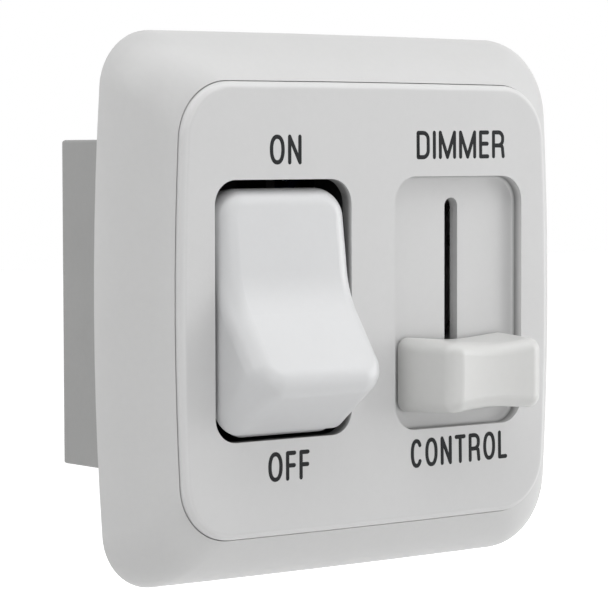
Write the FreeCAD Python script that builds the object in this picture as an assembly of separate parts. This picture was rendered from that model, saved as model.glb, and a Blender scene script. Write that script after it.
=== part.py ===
import FreeCAD, Part
import math
import os

# Wall dimmer with a rocker switch on the left and a slide control on the right.
# Sizes in millimetres. The wall is the plane y = 0, the front faces -Y, +Z is up.
# The origin is the centre of the four wall screw holes. It is drawn switched on,
# so the rocker's top is pressed in, with the slide control at the bottom of its travel.

# Front plate
plate_depth = 8.8
plate_corner_r = 6.6
side_bow_r = 340.0
end_bow_r = 3000.0
side_border = 5.2
end_border = 5.7
border_bulge = 1.2
raised_step = 0.9
raised_edge_r = 0.85
panel_corner_r = 6.5
panel_wall = 1.6
bezel_wall = 1.2
bezel_edge_r = 0.15
seam_gap = 0.07
flange_thick = 2.0
trim_gap = 0.1
grip_pad_length = 8.0
grip_pad_inset = 1.0

# Wall screws
wall_hole_r = 1.4

# Openings in the front panel
web_width = 6.35
side_margin = 4.475
legend_margin = 10.57
rocker_opening_w = 19.04
rocker_opening_h = 28.6
rocker_opening_r = 2.8
recess_w = 19.46
recess_h = 28.96
recess_r = 3.0
recess_depth = 1.5
recess_floor = 1.3
recess_fillet = 0.4
slot_w = 2.0
slot_length = 24.0

# Rocker
rocker_tilt_deg = 21.0
rocker_side_gap = 0.42
rocker_half_h = 13.8
rocker_corner_r = 2.6
rocker_crown_r = 3.9
pivot_depth = 3.3
valley_height = 5.4
valley_r = 10.0
valley_slope_deg = 14.0
rocker_edge_r = 2.2
rocker_side_draft_deg = 1.0
rocker_end_slope = 0.238
rocker_crown = 8.8
rocker_side_skirt = 1.6
rocker_end_skirt = 2.6
end_skirt_inset = 1.2
rocker_wall = 1.6
trunnion_r = 1.1
trunnion_length = 1.5
running_gap = 0.05

# Plunger and its spring, measured from the rocker's pivot
plunger_r = 1.5
plunger_reach = 8.6
plunger_inner_end = 0.6
plunger_boss_r = 2.6
plunger_boss_end = 2.0
spring_wire = 0.4
spring_length = 2.4

# Switch case and contacts
case_gap = 0.35
case_wall = 1.25
case_frame_depth = 5.1
case_half_h = 15.6
tub_half_w = 7.2
tub_front_gap = 0.4
tub_depth = 6.8
arm_gap = 0.15
arm_thick = 0.6
arm_half_w = 2.6
arm_half_length = 9.0
arm_wing_deg = 14.3
arm_rock_deg = 9.0
ridge_r = 0.8
ridge_gap = 0.1
contact_r = 1.4
contact_height = 0.6
contact_offset = 7.6
contact_gap = 0.15
terminal_thick = 0.8
terminal_width = 4.0

# Rear housing
housing_depth = 20.1
housing_lip = 2.05
housing_wall = 1.2
housing_back = 1.5
housing_clearance = 0.25
housing_relief = 0.7
housing_relief_depth = 0.8
housing_boss_r = 2.2
housing_screw_r = 0.9
housing_screw_head_r = 1.8
housing_screw_length = 6.6
post_width = 4.0

# Wire exit
exit_z = -8.0
exit_bore_r = 2.75
grommet_neck_r = 4.0
grommet_lip_r = 5.0
grommet_lip = 1.0

# Slide control
slide_travel = 16.4
pot_w = 8.5
pot_end = 4.3
pot_end_gap = 1.05
pot_depth = 6.6
pot_sheet = 0.8
pot_base_thick = 1.2
pot_lug_length = 4.6
pot_screw_reach = 2.7
pot_screw_r = 1.0
pot_screw_head_r = 1.8
pot_screw_head = 1.1
pot_boss_r = 2.0
lever_w = 1.3
lever_h = 4.4
lever_reach = 5.2
carriage_h = 8.0
carriage_depth = 3.3
carriage_gap = 0.3
brush_thick = 0.2
brush_h = 6.0
finger_r = 0.35
finger_gap = 0.05
track_thick = 0.1
track_width = 1.1
track_offset = 1.9
pin_r = 0.4
pin_tail = 1.0
pin_inset = 2.0
pin_offset = 1.2

# Slide knob
knob_tip_w = 13.8
knob_base_w = 16.8
knob_tip_h = 8.3
knob_base_h = 8.7
knob_height = 7.1
knob_floor_gap = 0.4
knob_edge_r = 1.4
knob_ridge_r = 1.8
knob_dish = 0.6
knob_waist = 0.55
socket_gap = 0.05

# Circuit board
board_front = 12.0
board_thick = 1.6
board_gap = 0.3
board_screw_r = 1.0
board_screw_head_r = 1.6
board_screw_head = 1.2
board_screw_length = 5.0
hole_gap = 0.1

# Parts on the board
transistor_x = 12.0
transistor_w = 10.0
tab_thick = 1.3
tab_length = 6.5
chip_body_h = 9.0
chip_body_thick = 3.2
lead_pitch = 2.54
lead_w = 0.7
lead_drop = 2.2
sink_thick = 1.2
sink_w = 11.6
sink_margin = 1.5
sink_screw_r = 1.4
sink_screw_head_r = 2.6
sink_screw_head = 2.0
nut_flats = 5.5
nut_thick = 2.2
upper_row = 5.85
lower_row = 4.05
inner_row = 6.95
can_x = 0.2
can_r = 3.15
can_height = 8.0
timer_x = -0.4
timer_z = -2.4
timer_w = 6.4
timer_length = 9.8
timer_thick = 3.3
timer_standoff = 0.5
resistor_r = 1.15
resistor_length = 6.0
resistor_lead_span = 8.4
upper_resistor_x = 14.4
lower_resistor_x = 7.6
disc_r = 2.5
disc_thick = 2.2
disc_lead_pitch = 2.5
upper_disc_x = 6.6
upper_disc_row = 3.85
lower_disc_x = 17.4
lower_disc_row = 5.05
diode_r = 1.3
diode_length = 5.0
diode_lead_span = 7.4
lead_r = 0.3
axial_lift = 0.2
disc_lift = 0.6

# Places worked out from the sizes above
face_y = -plate_depth
panel_back_y = face_y + panel_wall
step_y = face_y + raised_step
floor_y = face_y + recess_depth
floor_back_y = floor_y + recess_floor
opening_offset = web_width / 2 + (rocker_opening_w + recess_w) / 4
panel_half_w = opening_offset + (rocker_opening_w + recess_w) / 4 + side_margin
panel_half_h = recess_h / 2 + legend_margin
plate_width = 2 * (panel_half_w + side_border)
plate_height = 2 * (panel_half_h + end_border)
switch_x = -opening_offset
slide_x = opening_offset
pivot_y = face_y + pivot_depth
rocker_half_w = rocker_opening_w / 2 - rocker_side_gap
knob_rest_z = -slide_travel / 2
arm_y = pivot_y + plunger_reach + arm_gap
ridge_y = arm_y + arm_thick + ridge_gap + ridge_r
board_back = board_front + board_thick
pot_half_length = slide_travel / 2 + carriage_h / 2 + pot_end
lip_half_w = panel_half_w - panel_wall - housing_clearance
lip_half_h = panel_half_h - panel_wall - housing_clearance
housing_w = 2 * (lip_half_w - housing_lip)
housing_h = 2 * (pot_half_length + pot_end_gap + housing_wall)
housing_screw_x = housing_w / 2 - housing_wall
housing_screw_z = (housing_h / 2 + lip_half_h) / 2
housing_inner_w = housing_w / 2 - housing_wall
housing_inner_h = housing_h / 2 - housing_wall
board_half_w = housing_inner_w - board_gap
board_half_h = housing_inner_h - board_gap
can_z = board_half_h - upper_row
housing_floor_y = housing_depth - housing_back
tail_y = board_back + pin_tail
tilt = math.radians(rocker_tilt_deg)
skirt_drop = rocker_half_h * math.sin(tilt) + rocker_end_skirt * math.cos(tilt)
tub_y = pivot_y + skirt_drop + tub_front_gap
tub_back_y = tub_y + tub_depth
tub_floor_y = tub_back_y - case_wall
pot_back_y = floor_back_y + pot_depth
pot_lug_z = pot_half_length + pot_lug_length - pot_screw_head_r
lever_tip_y = face_y - lever_reach
chip_bottom_z = -chip_body_h
sink_screw_z = tab_length / 2
diode_x = board_half_w - diode_r
disc_y = board_front - disc_r - disc_lift


def vec(x, y, z):
    return FreeCAD.Vector(x, y, z)


def block(x0, x1, y0, y1, z0, z1):
    return Part.makeBox(x1 - x0, y1 - y0, z1 - z0, vec(x0, y0, z0))


def centred(x, z, half_w, half_h, y0, y1):
    return block(x - half_w, x + half_w, y0, y1, z - half_h, z + half_h)


def rod(x, z, radius, y0, y1):
    return Part.makeCylinder(radius, y1 - y0, vec(x, y0, z), vec(0, 1, 0))


def rod_x(y, z, radius, x0, x1):
    return Part.makeCylinder(radius, x1 - x0, vec(x0, y, z), vec(1, 0, 0))


def rod_z(x, y, radius, z0, z1):
    return Part.makeCylinder(radius, z1 - z0, vec(x, y, z0), vec(0, 0, 1))


def joined(shapes):
    whole = shapes[0].fuse(shapes[1:]) if len(shapes) > 1 else shapes[0]
    return whole.removeSplitter()


def corners(half_x, half_z):
    return [(sx * half_x, sz * half_z) for sx in (-1, 1) for sz in (-1, 1)]


def save(name, shape):
    shape.exportStep("parts/" + name + ".step")


# A rectangle in the plane of one y, with round corners and straight sides
def round_wire(x, z, half_w, half_h, r, y):
    k = r * (1 - math.sqrt(0.5))
    edges = []
    for turn in range(4):
        w, h = (half_w, half_h) if turn % 2 == 0 else (half_h, half_w)
        start = vec(w, 0, r - h)
        end = vec(w, 0, h - r)
        middle = vec(w - k, 0, h - k)
        after = vec(w - r, 0, h)
        quarter = FreeCAD.Rotation(vec(0, 1, 0), -90 * turn)
        place = [quarter.multVec(p) + vec(x, y, z) for p in (start, end, middle, after)]
        edges.append(Part.LineSegment(place[0], place[1]).toShape())
        edges.append(Part.Arc(place[1], place[2], place[3]).toShape())
    return Part.Wire(edges)


def round_prism(x, z, half_w, half_h, r, y0, y1):
    face = Part.Face(round_wire(x, z, half_w, half_h, r, y0))
    return face.extrude(vec(0, y1 - y0, 0))


# The plate's outline: bowed sides and nearly straight ends joined by round corners.
# The corner circle touches the circles of both from inside.
def bowed_wire(half_w, half_h, r, y):
    right = vec(half_w - side_bow_r, 0, 0)
    top = vec(0, 0, half_h - end_bow_r)
    right_reach = side_bow_r - r
    top_reach = end_bow_r - r
    between = top - right
    span = between.Length
    along = (right_reach**2 - top_reach**2 + span**2) / (2 * span)
    aside = math.sqrt(right_reach**2 - along**2)
    step = between.normalize()
    centre = right + step * along + vec(-step.z, 0, step.x) * aside
    on_right = right + (centre - right).normalize() * side_bow_r
    on_top = top + (centre - top).normalize() * end_bow_r
    outward = ((on_right - centre) + (on_top - centre)).normalize()
    on_corner = centre + outward * r

    def flip(p, sx, sz):
        return vec(sx * p.x, y, sz * p.z)

    loop = [
        (flip(on_right, 1, -1), vec(half_w, y, 0), flip(on_right, 1, 1)),
        (flip(on_right, 1, 1), flip(on_corner, 1, 1), flip(on_top, 1, 1)),
        (flip(on_top, 1, 1), vec(0, y, half_h), flip(on_top, -1, 1)),
        (flip(on_top, -1, 1), flip(on_corner, -1, 1), flip(on_right, -1, 1)),
        (flip(on_right, -1, 1), vec(-half_w, y, 0), flip(on_right, -1, -1)),
        (flip(on_right, -1, -1), flip(on_corner, -1, -1), flip(on_top, -1, -1)),
        (flip(on_top, -1, -1), vec(0, y, -half_h), flip(on_top, 1, -1)),
        (flip(on_top, 1, -1), flip(on_corner, 1, -1), flip(on_right, 1, -1)),
    ]
    return Part.Wire([Part.Arc(*points).toShape() for points in loop])


def bowed_prism(half_w, half_h, r, y0, y1):
    return Part.Face(bowed_wire(half_w, half_h, r, y0)).extrude(vec(0, y1 - y0, 0))


# How far in from the plate's edge the border's arc lies, and its y, at a share of its turn
def border_point(share, width):
    height = plate_depth - raised_step
    chord = math.hypot(width, height)
    radius = (chord**2 / 4 + border_bulge**2) / (2 * border_bulge)
    half_turn = math.asin(chord / 2 / radius)
    angle = half_turn * (2 * share - 1)
    along = chord / 2 + radius * math.sin(angle)
    out = radius * math.cos(angle) - radius * math.cos(half_turn)
    inward = (along * width - out * height) / chord
    rise = (along * height + out * width) / chord
    return inward, -rise


def border_solid(shrink):
    steps = 6
    wires = []
    for step in range(steps + 1):
        share = step / steps
        side_inset, y = border_point(share, side_border)
        end_inset = border_point(share, end_border)[0]
        r = plate_corner_r + (panel_corner_r - plate_corner_r) * share
        half_w = plate_width / 2 - side_inset - shrink
        half_h = plate_height / 2 - end_inset - shrink
        wires.append(bowed_wire(half_w, half_h, r - shrink / 2, y + shrink * share))
    return Part.makeLoft(wires, True, False)


# Opens the front of the seam round the raised panel with a small rounded lip
def seam_cutter():
    steps = 4
    wires = []
    for step in range(steps + 1):
        angle = math.radians(90 * step / steps)
        grow = seam_gap + bezel_edge_r * (1 - math.sin(angle))
        y = step_y + bezel_edge_r * (1 - math.cos(angle))
        half_w = panel_half_w + grow
        half_h = panel_half_h + grow
        wires.append(bowed_wire(half_w, half_h, panel_corner_r + grow, y))
    return Part.makeLoft(wires, True, False)


def trim_bezel():
    inside = border_solid(bezel_wall)
    r = panel_corner_r + seam_gap
    window = bowed_prism(panel_half_w + seam_gap, panel_half_h + seam_gap, r, step_y - 1, 1)
    ring = border_solid(0).cut(inside).cut(window).cut(seam_cutter())
    pads = centred(0, 0, plate_width / 2 - grip_pad_inset, grip_pad_length / 2, -flange_thick, 0)
    pads = pads.fuse(
        centred(0, 0, grip_pad_length / 2, plate_height / 2 - grip_pad_inset, -flange_thick, 0)
    )
    return joined([ring, pads.cut(bowed_prism(*flange_size(), -flange_thick, 0))])


# The hidden flange fills the inside of the trim at the height of the flange's front
def flange_size():
    share = (flange_thick + bezel_wall) / (plate_depth - raised_step)
    inset = border_point(share, end_border)[0] + bezel_wall + trim_gap
    return plate_width / 2 - inset, plate_height / 2 - inset, plate_corner_r - bezel_wall


# The wall screws stand in the corners, halfway between the raised panel and the flange's edge
def wall_hole_places():
    half_w, half_h, r = flange_size()
    corner_step = 1 - math.sqrt(0.5)
    x = (half_w + panel_half_w - (r + panel_corner_r) * corner_step) / 2
    z = (half_h + panel_half_h - (r + panel_corner_r) * corner_step) / 2
    return corners(x, z)


def slot_cutter(width, length, y0, y1):
    return round_prism(slide_x, 0, width / 2, length / 2, width / 2 - 0.01, y0, y1)


def face_panel():
    skin = bowed_prism(panel_half_w, panel_half_h, panel_corner_r, face_y, 0)
    front = [edge for edge in skin.Edges if edge.BoundBox.YMax < face_y + 0.01]
    skin = skin.makeFillet(raised_edge_r, front)
    flange = bowed_prism(*flange_size(), -flange_thick, 0)
    hollow = bowed_prism(
        panel_half_w - panel_wall,
        panel_half_h - panel_wall,
        panel_corner_r - panel_wall,
        panel_back_y,
        1,
    )
    shell = skin.fuse(flange).cut(hollow)
    recess_back = round_prism(
        slide_x,
        0,
        recess_w / 2 + recess_floor,
        recess_h / 2 + recess_floor,
        recess_r + recess_floor,
        panel_back_y - panel_wall / 2,
        floor_back_y,
    )
    bosses = [
        rod(x, z, housing_boss_r, panel_back_y - panel_wall / 2, -flange_thick)
        for x, z in corners(housing_screw_x, housing_screw_z)
    ]
    bosses += [
        rod(slide_x, side * pot_lug_z, pot_boss_r, panel_back_y - panel_wall / 2, floor_back_y)
        for side in (-1, 1)
    ]
    shell = shell.fuse([recess_back] + bosses)
    shell = shell.cut(recess_pocket())
    cutters = [
        round_prism(
            switch_x,
            0,
            rocker_opening_w / 2,
            rocker_opening_h / 2,
            rocker_opening_r,
            face_y - 1,
            panel_back_y + 1,
        ),
        slot_cutter(slot_w, slot_length, face_y, floor_back_y + 1),
    ]
    for x, z in wall_hole_places():
        cutters.append(rod(x, z, wall_hole_r, -flange_thick - 1, 1))
    for x, z in corners(housing_screw_x, housing_screw_z):
        cutters.append(rod(x, z, housing_screw_r, -housing_screw_length, 0))
    for side in (-1, 1):
        cutters.append(
            rod(slide_x, side * pot_lug_z, pot_screw_r, floor_back_y - pot_screw_reach + pot_sheet, 0)
        )
    return shell.cut(cutters).removeSplitter()


# The shallow pocket that the knob slides in, round at its floor
def recess_pocket():
    pocket = round_prism(
        slide_x, 0, recess_w / 2, recess_h / 2, recess_r, face_y - 1, floor_y
    )
    floor_edges = [edge for edge in pocket.Edges if edge.BoundBox.YMin > floor_y - 0.01]
    return pocket.makeFillet(recess_fillet, floor_edges)


# The rocker's outline at a height above its pivot, drawn level and centred on the pivot
def rocker_wire(height, inset, r):
    half_w = rocker_half_w - inset
    half_w -= max(height + rocker_side_skirt, 0) * math.tan(math.radians(rocker_side_draft_deg))
    half_h = rocker_half_h - inset - (height + rocker_side_skirt) * rocker_end_slope
    return round_wire(0, 0, half_w, half_h, r, -height)


# What is hollowed out of the rocker's front: two slopes joined by a round bottom
def rocker_valley():
    slope = math.radians(valley_slope_deg)
    bend_z = valley_r * math.sin(slope)
    bend_y = -valley_height - valley_r * (1 - math.cos(slope))
    end_z = rocker_half_h + 1
    end_y = bend_y - (end_z - bend_z) * math.tan(slope)
    x = -rocker_half_w - 1
    high = -2 * rocker_crown
    edges = [
        Part.LineSegment(vec(x, end_y, -end_z), vec(x, bend_y, -bend_z)).toShape(),
        Part.Arc(vec(x, bend_y, -bend_z), vec(x, -valley_height, 0), vec(x, bend_y, bend_z)).toShape(),
        Part.LineSegment(vec(x, bend_y, bend_z), vec(x, end_y, end_z)).toShape(),
        Part.LineSegment(vec(x, end_y, end_z), vec(x, high, end_z)).toShape(),
        Part.LineSegment(vec(x, high, end_z), vec(x, high, -end_z)).toShape(),
        Part.LineSegment(vec(x, high, -end_z), vec(x, end_y, -end_z)).toShape(),
    ]
    return Part.Face(Part.Wire(edges)).extrude(vec(-2 * x, 0, 0))


def rocker_cap():
    low = rocker_wire(-rocker_side_skirt, 0, rocker_corner_r)
    high = rocker_wire(rocker_crown, 0, rocker_crown_r)
    cap = Part.makeLoft([low, high], True, True)
    cap = cap.cut(rocker_valley())
    rim = [
        edge
        for edge in cap.Edges
        if edge.BoundBox.YMax < -valley_height + 0.2 and edge.BoundBox.YMin < -valley_height - 0.5
    ]
    return cap.makeFillet(rocker_edge_r, rim)


def rocker_level():
    roof = valley_height - rocker_wall
    low = rocker_wire(-rocker_side_skirt - 0.01, rocker_wall, rocker_corner_r / 2)
    high = rocker_wire(roof, rocker_wall, rocker_corner_r / 2)
    hollow = Part.makeLoft([low, high], True, True)
    skirts = round_prism(
        0,
        0,
        rocker_half_w - end_skirt_inset,
        rocker_half_h,
        rocker_corner_r,
        rocker_side_skirt,
        rocker_end_skirt,
    )
    inner_h = rocker_half_h - rocker_wall
    skirts = skirts.cut(centred(0, 0, rocker_half_w, inner_h, 0, rocker_end_skirt + 1))
    shell = rocker_cap().cut(hollow)
    boss = rod(0, 0, plunger_boss_r, -roof - 0.2, plunger_boss_end)
    ends = [
        rod_x(0, 0, trunnion_r, rocker_half_w - rocker_wall, rocker_half_w + trunnion_length),
        rod_x(0, 0, trunnion_r, -rocker_half_w - trunnion_length, -rocker_half_w + rocker_wall),
    ]
    whole = joined([shell, skirts, boss] + ends)
    bore_top = plunger_inner_end - spring_length
    return whole.cut(rod(0, 0, plunger_r + running_gap, bore_top, plunger_boss_end + 1))


# Turns a piece drawn level about the pivot to where it rests when switched on
def at_rest(shape):
    shape = shape.copy()
    shape.rotate(vec(0, 0, 0), vec(1, 0, 0), -rocker_tilt_deg)
    shape.translate(vec(switch_x, pivot_y, 0))
    return shape


def plunger():
    pin = rod(0, 0, plunger_r, plunger_inner_end, plunger_reach - plunger_r)
    tip = Part.makeSphere(plunger_r, vec(0, plunger_reach - plunger_r, 0))
    return at_rest(joined([pin, tip]))


def plunger_spring():
    outer = plunger_r - spring_wire / 2
    start = plunger_inner_end - spring_length
    tube = rod(0, 0, outer, start, plunger_inner_end)
    return at_rest(tube.cut(rod(0, 0, outer - spring_wire, start, plunger_inner_end)))


def switch_case():
    inner_w = rocker_opening_w / 2
    inner_h = case_half_h - case_wall
    frame_back = panel_back_y + case_frame_depth
    outer_w = rocker_half_w + trunnion_length + case_gap
    frame = centred(switch_x, 0, outer_w, case_half_h, panel_back_y, frame_back)
    frame = frame.cut(centred(switch_x, 0, inner_w, inner_h, panel_back_y, frame_back))
    tub = centred(switch_x, 0, tub_half_w, case_half_h, frame_back - 0.5, tub_back_y)
    tub = tub.cut(centred(switch_x, 0, outer_w, inner_h, frame_back - 1, tub_y))
    tub = tub.cut(
        centred(switch_x, 0, tub_half_w - case_wall, inner_h, tub_y, tub_back_y - case_wall)
    )
    case = joined([frame, tub])
    hole_r = trunnion_r + running_gap
    cutters = [rod_x(pivot_y, 0, hole_r, switch_x - outer_w, switch_x + outer_w)]
    for z in (0, -contact_offset):
        cutters.append(terminal_tail(z, hole_gap / 2, tub_back_y))
    return case.cut(cutters)


def terminal_tail(z, extra, y1):
    half_w = terminal_width / 2 + extra
    return centred(switch_x, z, half_w, terminal_thick / 2 + extra, tub_floor_y, y1)


# A bent see-saw that rocks on the ridge of the middle terminal
def contact_arm():
    hub = centred(switch_x, 0, arm_half_w, arm_thick, arm_y, arm_y + arm_thick)
    wings = []
    for side in (-1, 1):
        z0, z1 = sorted((0, side * arm_half_length))
        wing = block(switch_x - arm_half_w, switch_x + arm_half_w, 0, arm_thick, z0, z1)
        wing.rotate(vec(0, 0, 0), vec(1, 0, 0), side * arm_wing_deg)
        wing.translate(vec(0, arm_y, 0))
        wings.append(wing)
    return rocked(joined([hub] + wings))


def rocked(shape):
    shape = shape.copy()
    shape.rotate(vec(switch_x, ridge_y, 0), vec(1, 0, 0), arm_rock_deg)
    return shape


def moving_contact():
    button = rod(switch_x, 0, contact_r, arm_thick, arm_thick + contact_height)
    button.translate(vec(0, 0, -contact_offset))
    button.rotate(vec(0, 0, 0), vec(1, 0, 0), -arm_wing_deg)
    button.translate(vec(0, arm_y, 0))
    return rocked(button)


def middle_terminal():
    half_w = terminal_width / 2
    blade = centred(switch_x, 0, half_w, terminal_thick / 2, ridge_y, tail_y)
    ridge = rod_x(ridge_y, 0, ridge_r, switch_x - half_w, switch_x + half_w)
    foot = centred(switch_x, 0, half_w, terminal_thick * 2, tub_floor_y - terminal_thick, tub_floor_y)
    return joined([blade, ridge, foot])


def fixed_contact_front():
    return moving_contact().BoundBox.YMax + contact_gap


def fixed_contact():
    front = fixed_contact_front()
    return rod(switch_x, -contact_offset, contact_r, front, front + contact_height)


def load_terminal():
    top = fixed_contact_front() + contact_height
    half_w = terminal_width / 2
    seat = centred(switch_x, -contact_offset, half_w, contact_r, top, top + terminal_thick)
    leg = centred(switch_x, -contact_offset, half_w, terminal_thick / 2, top, tail_y)
    return joined([seat, leg])


def rear_housing():
    r = panel_corner_r - panel_wall - housing_clearance
    lip = bowed_prism(lip_half_w, lip_half_h, r, -flange_thick, 0)
    box = centred(0, 0, housing_w / 2, housing_h / 2, -flange_thick, housing_depth)
    whole = lip.fuse(box)
    inside = centred(
        0, 0, housing_inner_w, housing_inner_h, -flange_thick, housing_floor_y
    )
    relief = block(
        -housing_inner_w - housing_relief,
        -housing_inner_w + 1,
        -flange_thick,
        housing_relief_depth,
        1 - rocker_half_h,
        rocker_half_h - 1,
    )
    whole = whole.cut([inside, relief])
    post_x = housing_inner_w - post_width / 2
    post_z = housing_inner_h - post_width / 2
    posts = [
        centred(x, z, post_width / 2, post_width / 2, board_back, housing_floor_y + 0.5)
        for x, z in corners(post_x, post_z)
    ]
    whole = whole.fuse(posts)
    cutters = [rod(0, exit_z, grommet_neck_r, housing_floor_y - 1, housing_depth + 1)]
    for x, z in corners(post_x, post_z):
        cutters.append(
            rod(x, z, board_screw_r, board_back, board_front + board_screw_length)
        )
    for x, z in corners(housing_screw_x, housing_screw_z):
        cutters.append(rod(x, z, housing_screw_r + hole_gap, -flange_thick, 0))
        cutters.append(screw_sink(x, z))
    return whole.cut(cutters).removeSplitter()


def screw_sink(x, z):
    depth = housing_screw_head_r - housing_screw_r
    return Part.makeCone(
        housing_screw_r, housing_screw_head_r, depth, vec(x, -depth, z), vec(0, 1, 0)
    )


def housing_screws():
    screws = []
    for x, z in corners(housing_screw_x, housing_screw_z):
        shank = rod(x, z, housing_screw_r, -housing_screw_length, 0)
        screw = joined([shank, screw_sink(x, z)])
        screws.append(cross_slot(screw, x, z, 0, housing_screw_head_r))
    return Part.makeCompound(screws)


# A cross recess in a screw head whose outer face lies at y
def cross_slot(screw, x, z, y, head_r):
    long = head_r * 0.6
    thin = head_r * 0.15
    deep = head_r * 0.4
    for half_w, half_h in ((long, thin), (thin, long)):
        screw = screw.cut(centred(x, z, half_w, half_h, y - deep, y + deep))
    return screw


def wire_grommet():
    y0 = housing_floor_y - grommet_lip
    y1 = housing_depth + grommet_lip
    neck = rod(0, exit_z, grommet_neck_r, y0, y1)
    lips = [
        rod(0, exit_z, grommet_lip_r, y0, housing_floor_y),
        rod(0, exit_z, grommet_lip_r, housing_depth, y1),
    ]
    return joined([neck] + lips).cut(rod(0, exit_z, exit_bore_r, y0, y1))


def pot_frame():
    front = floor_back_y
    base_front = pot_back_y - pot_base_thick
    can = centred(slide_x, 0, pot_w / 2, pot_half_length, front, base_front)
    hollow = centred(
        slide_x, 0, pot_w / 2 - pot_sheet, pot_half_length - pot_sheet, front + pot_sheet, base_front
    )
    lugs = centred(
        slide_x, 0, pot_screw_head_r + 0.5, pot_half_length + pot_lug_length, front, front + pot_sheet
    )
    frame = can.fuse(lugs).cut(hollow)
    frame = frame.cut(slot_cutter(slot_w, slot_length, front - 1, front + pot_sheet + 0.1))
    holes = [
        rod(slide_x, side * pot_lug_z, pot_screw_r + hole_gap, front, front + pot_sheet)
        for side in (-1, 1)
    ]
    return frame.cut(holes).removeSplitter()


def pot_screws():
    screws = []
    y = floor_back_y + pot_sheet
    for side in (-1, 1):
        z = side * pot_lug_z
        shank = rod(slide_x, z, pot_screw_r, y - pot_screw_reach, y)
        head = rod(slide_x, z, pot_screw_head_r, y, y + pot_screw_head)
        screw = joined([shank, head])
        screws.append(cross_slot(screw, slide_x, z, y + pot_screw_head, pot_screw_head_r))
    return Part.makeCompound(screws)


def pin_places():
    z = pot_half_length - pin_inset
    return [(slide_x - pin_offset, z), (slide_x + pin_offset, z), (slide_x, -z)]


def pot_base():
    base_front = pot_back_y - pot_base_thick
    board = centred(slide_x, 0, pot_w / 2, pot_half_length, base_front, pot_back_y)
    return board.cut([rod(x, z, pin_r, base_front, pot_back_y) for x, z in pin_places()])


def resistive_tracks():
    y1 = pot_back_y - pot_base_thick
    half_length = slide_travel / 2 + carriage_h / 2
    tracks = [
        centred(slide_x + side * track_offset, 0, track_width / 2, half_length, y1 - track_thick, y1)
        for side in (-1, 1)
    ]
    return Part.makeCompound(tracks)


def pot_terminals():
    y0 = pot_back_y - pot_base_thick
    return Part.makeCompound([rod(x, z, pin_r, y0, tail_y) for x, z in pin_places()])


def wiper_carriage():
    y0 = floor_back_y + pot_sheet + carriage_gap
    half_w = pot_w / 2 - pot_sheet - carriage_gap
    carriage = centred(slide_x, knob_rest_z, half_w, carriage_h / 2, y0, y0 + carriage_depth)
    lever = centred(slide_x, knob_rest_z, lever_w / 2, lever_h / 2, lever_tip_y, y0 + 1)
    return joined([carriage, lever])


# A thin spring plate under the carriage with one finger on each track
def wiper_brush():
    y0 = floor_back_y + pot_sheet + carriage_gap + carriage_depth
    y1 = pot_back_y - pot_base_thick - track_thick
    half_w = track_offset + track_width / 2
    plate = centred(slide_x, knob_rest_z, half_w, brush_h / 2, y0, y0 + brush_thick)
    fingers = []
    for x in (slide_x - track_offset, slide_x + track_offset):
        y = y1 - finger_gap - finger_r
        fingers.append(rod_x(y, knob_rest_z, finger_r, x - finger_r, x + finger_r))
        fingers.append(centred(x, knob_rest_z, finger_r, brush_thick / 2, y0, y))
    return joined([plate] + fingers)


# The knob seen from the front, with a dipped top and bottom, wider than its sides are cut
def knob_wire(half_h, y):
    left = slide_x - knob_base_w / 2 - 1
    right = slide_x + knob_base_w / 2 + 1
    low, high = knob_rest_z - half_h, knob_rest_z + half_h
    edges = [
        Part.LineSegment(vec(right, y, low), vec(right, y, high)).toShape(),
        knob_dip(vec(right, y, high), vec(left, y, high), -1),
        Part.LineSegment(vec(left, y, high), vec(left, y, low)).toShape(),
        knob_dip(vec(left, y, low), vec(right, y, low), 1),
    ]
    return Part.Wire(edges)


def knob_dip(start, end, up):
    middle = (start + end) * 0.5 + vec(0, 0, up * knob_waist)
    along = (end - start).normalize()
    dip = Part.BSplineCurve()
    dip.interpolate(Points=[start, middle, end], InitialTangent=along, FinalTangent=along)
    return dip.toShape()


# The knob as seen from above: leaning sides, broad round ridges and a dished front between them
def knob_ridges(base_y, tip_y):
    low = knob_rest_z - knob_base_h
    high = knob_rest_z + knob_base_h
    half_base, half_tip = knob_base_w / 2, knob_tip_w / 2
    corners = [
        vec(slide_x - half_base, base_y, low),
        vec(slide_x - half_tip, tip_y, low),
        vec(slide_x + half_tip, tip_y, low),
        vec(slide_x + half_base, base_y, low),
    ]
    outline = Part.makePolygon(corners + corners[:1])
    body = Part.Face(outline).extrude(vec(0, 0, high - low))
    dish_r = (half_tip**2 + knob_dish**2) / (2 * knob_dish)
    body = body.cut(rod_z(slide_x, tip_y + knob_dish - dish_r, dish_r, low, high))
    front = [
        edge
        for edge in body.Edges
        if edge.BoundBox.ZLength > knob_base_h and edge.BoundBox.YMax < tip_y + knob_dish
    ]
    return body.makeFillet(knob_ridge_r, front)


def slider_knob():
    base_y = floor_y - knob_floor_gap
    tip_y = face_y - knob_height
    z = knob_rest_z
    base = knob_wire(knob_base_h / 2, base_y)
    tip = knob_wire(knob_tip_h / 2, tip_y)
    knob = Part.makeLoft([base, tip], True, True).common(knob_ridges(base_y, tip_y))
    reach = knob_tip_h / 2 - 2 * knob_waist
    rim = []
    for edge in knob.Edges:
        above = edge.BoundBox.ZMin > z + reach
        below = edge.BoundBox.ZMax < z - reach
        if (above or below) and edge.BoundBox.YMin < base_y - 1:
            rim.append(edge)
    knob = knob.makeFillet(knob_edge_r, rim)
    socket = centred(
        slide_x,
        z,
        lever_w / 2 + socket_gap,
        lever_h / 2 + socket_gap,
        lever_tip_y - socket_gap,
        base_y + 1,
    )
    return knob.cut(socket)


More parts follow.
